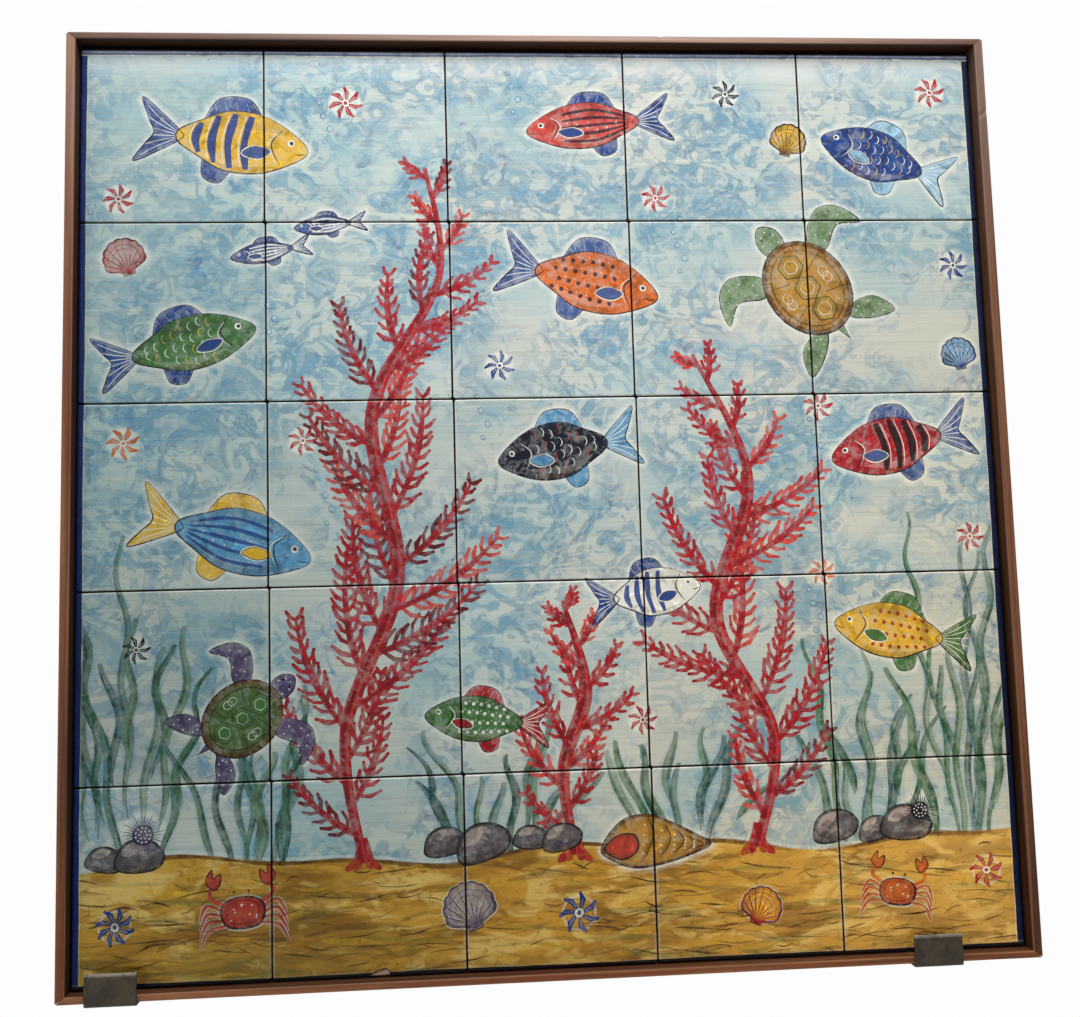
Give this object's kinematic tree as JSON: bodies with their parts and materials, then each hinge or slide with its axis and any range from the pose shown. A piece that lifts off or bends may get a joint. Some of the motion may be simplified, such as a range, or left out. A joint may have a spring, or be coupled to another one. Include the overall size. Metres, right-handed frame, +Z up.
{
  "type": "hand-painted tile panel",
  "caption": "Square panel of painted, glazed tiles in a shallow mitred wooden tray frame, resting on two bent steel clips that fix it to a wall.",
  "frame": {"origin": "centre of the board's rear face, where the panel lies flat on the wall", "axes": "+X to the viewer's right along the panel, +Y out of the back into the wall, +Z up"},
  "size_m": [1.031, 0.0376, 1.0313],
  "materials": {
    "painted_glaze": "pale blue-green tin glaze, hand painted under a clear gloss",
    "walnut": "straight-grained dark wood, thin satin oil, eased arrises",
    "board": "plain plywood, unfinished",
    "dark_steel": "blackened steel, scuffed, bright at the worn top edge"
  },
  "bodies": {
    "root": {"tile_r1_c1": "painted_glaze", "tile_r1_c2": "painted_glaze", "tile_r1_c3": "painted_glaze", "tile_r1_c4": "painted_glaze", "tile_r1_c5": "painted_glaze", "tile_r2_c1": "painted_glaze", "tile_r2_c2": "painted_glaze", "tile_r2_c3": "painted_glaze", "tile_r2_c4": "painted_glaze", "tile_r2_c5": "painted_glaze", "tile_r3_c1": "painted_glaze", "tile_r3_c2": "painted_glaze", "tile_r3_c3": "painted_glaze", "tile_r3_c4": "painted_glaze", "tile_r3_c5": "painted_glaze", "tile_r4_c1": "painted_glaze", "tile_r4_c2": "painted_glaze", "tile_r4_c3": "painted_glaze", "tile_r4_c4": "painted_glaze", "tile_r4_c5": "painted_glaze", "tile_r5_c1": "painted_glaze", "tile_r5_c2": "painted_glaze", "tile_r5_c3": "painted_glaze", "tile_r5_c4": "painted_glaze", "tile_r5_c5": "painted_glaze", "frame_stile_left": "walnut", "frame_stile_right": "walnut", "frame_rail_top": "walnut", "frame_rail_bottom": "walnut", "backing_board": "board", "support_clip_left": "dark_steel", "support_clip_right": "dark_steel"}
  },
  "joints": []
}
